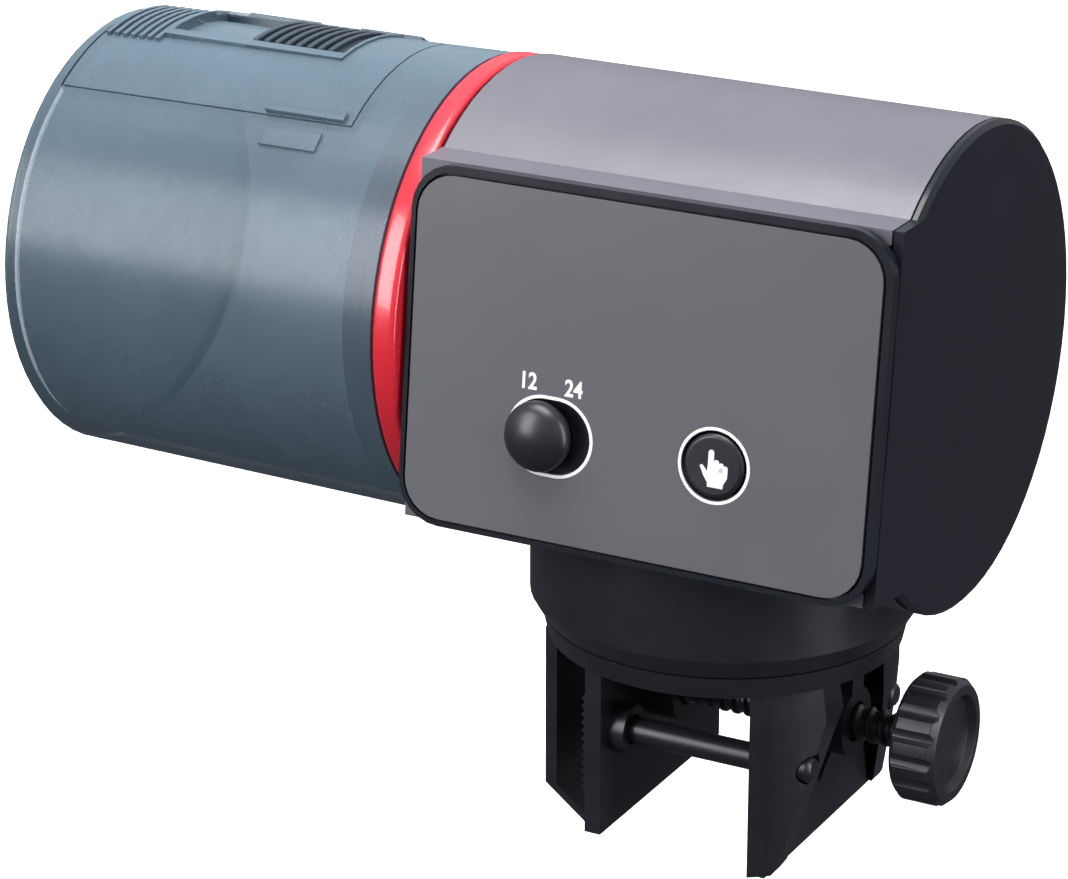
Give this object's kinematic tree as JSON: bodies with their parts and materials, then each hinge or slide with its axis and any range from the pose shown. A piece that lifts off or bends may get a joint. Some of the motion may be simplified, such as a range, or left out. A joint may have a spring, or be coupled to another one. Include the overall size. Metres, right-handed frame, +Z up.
{
  "type": "automatic fish feeder",
  "caption": "Clamp-on automatic fish feeder: a clear food drum with lid and feed gate, turned by a geared motor in a swivelling housing with switch and button.",
  "frame": {"origin": "on the swivel axis, at the flat underside of the clamp's round plate, which rests on the tank's rim", "axes": "+X along the drum's axis from the drum towards the motor end, -Y towards the control panel, +Z up along the swivel axis"},
  "size_m": [0.1413, 0.0725, 0.1191],
  "materials": {
    "black_plastic": "satin moulded ABS",
    "grey_plastic": "satin, slightly metallic grey moulding",
    "panel_grey": "matt printed sheet",
    "smoky_plastic": "clear smoke-tinted moulding",
    "red_plastic": "glossy red moulding",
    "zinc_steel": "zinc plated",
    "nylon": "natural white nylon",
    "brass": "turned",
    "cell_wrap": "printed sleeve, no print",
    "board": "solder mask"
  },
  "bodies": {
    "clamp": {"clamp_base": "black_plastic", "retaining_washer": "zinc_steel", "pivot_screw": "zinc_steel"},
    "jaw": {"moving_jaw": "black_plastic", "guide_rod_front": "zinc_steel", "guide_rod_back": "zinc_steel"},
    "screw": {"clamp_screw": "zinc_steel", "clamp_knob": "black_plastic"},
    "head": {"neck_shell": "black_plastic", "housing_shell": "grey_plastic", "end_cap": "black_plastic", "front_panel": "black_plastic", "panel_overlay": "panel_grey", "battery_tray": "black_plastic", "battery_1": "cell_wrap", "battery_2": "cell_wrap", "contact_near": "zinc_steel", "contact_far": "zinc_steel", "circuit_board": "board", "slide_switch_body": "zinc_steel", "push_switch": "black_plastic", "motor": "zinc_steel", "gearbox_frame": "nylon"},
    "door": {"battery_door": "grey_plastic"},
    "pinion": {"motor_pinion": "brass"},
    "mode": {"mode_knob": "black_plastic"},
    "button": {"manual_button": "black_plastic"},
    "drum": {"drum_shell": "smoky_plastic", "drive_collar": "red_plastic", "drive_shaft": "zinc_steel", "drive_gear": "nylon"},
    "lid": {"drum_lid": "smoky_plastic", "lid_hinge_pin": "zinc_steel"},
    "gate": {"feed_gate": "smoky_plastic"}
  },
  "joints": [
    {"name": "swivel", "type": "hinge", "parent": "clamp", "child": "head", "pos_m": [0, 0, 0], "axis": [0, 0, 1], "continuous": true},
    {"name": "jaw_slide", "type": "slide", "parent": "clamp", "child": "jaw", "axis": [1, 0, 0], "range_m": [-0.0064, 0.012]},
    {"name": "screw_turn", "type": "hinge", "parent": "jaw", "child": "screw", "pos_m": [0, 0, -0.0109], "axis": [1, 0, 0], "range_deg": [-1160, 2170]},
    {"name": "drum_turn", "type": "hinge", "parent": "head", "child": "drum", "pos_m": [0, 0, 0.0465], "axis": [1, 0, 0], "continuous": true},
    {"name": "pinion_turn", "type": "hinge", "parent": "head", "child": "pinion", "pos_m": [0, 0, 0.0225], "axis": [1, 0, 0], "continuous": true},
    {"name": "lid_hinge", "type": "hinge", "parent": "drum", "child": "lid", "pos_m": [0, 0.02125, 0.07419], "axis": [-1, 0, 0], "range_deg": [0, 100]},
    {"name": "gate_slide", "type": "slide", "parent": "lid", "child": "gate", "axis": [-1, 0, 0], "range_m": [0, 0.012]},
    {"name": "mode_slide", "type": "slide", "parent": "head", "child": "mode", "axis": [1, 0, 0], "range_m": [0, 0.002]},
    {"name": "button_press", "type": "slide", "parent": "head", "child": "button", "axis": [0, 0.9933, -0.116], "range_m": [0, 0.0008], "stiffness_N_per_m": 300, "springref_m": -0.0005},
    {"name": "door_hinge", "type": "hinge", "parent": "head", "child": "door", "pos_m": [0, 0.02975, 0.02806], "axis": [-1, 0, 0], "range_deg": [0, 90]}
  ],
  "couplings": [
    {"joint": "screw_turn", "follows": "jaw_slide", "rad_per_m": 3141.6},
    {"joint": "pinion_turn", "follows": "drum_turn", "ratio": -4}
  ]
}
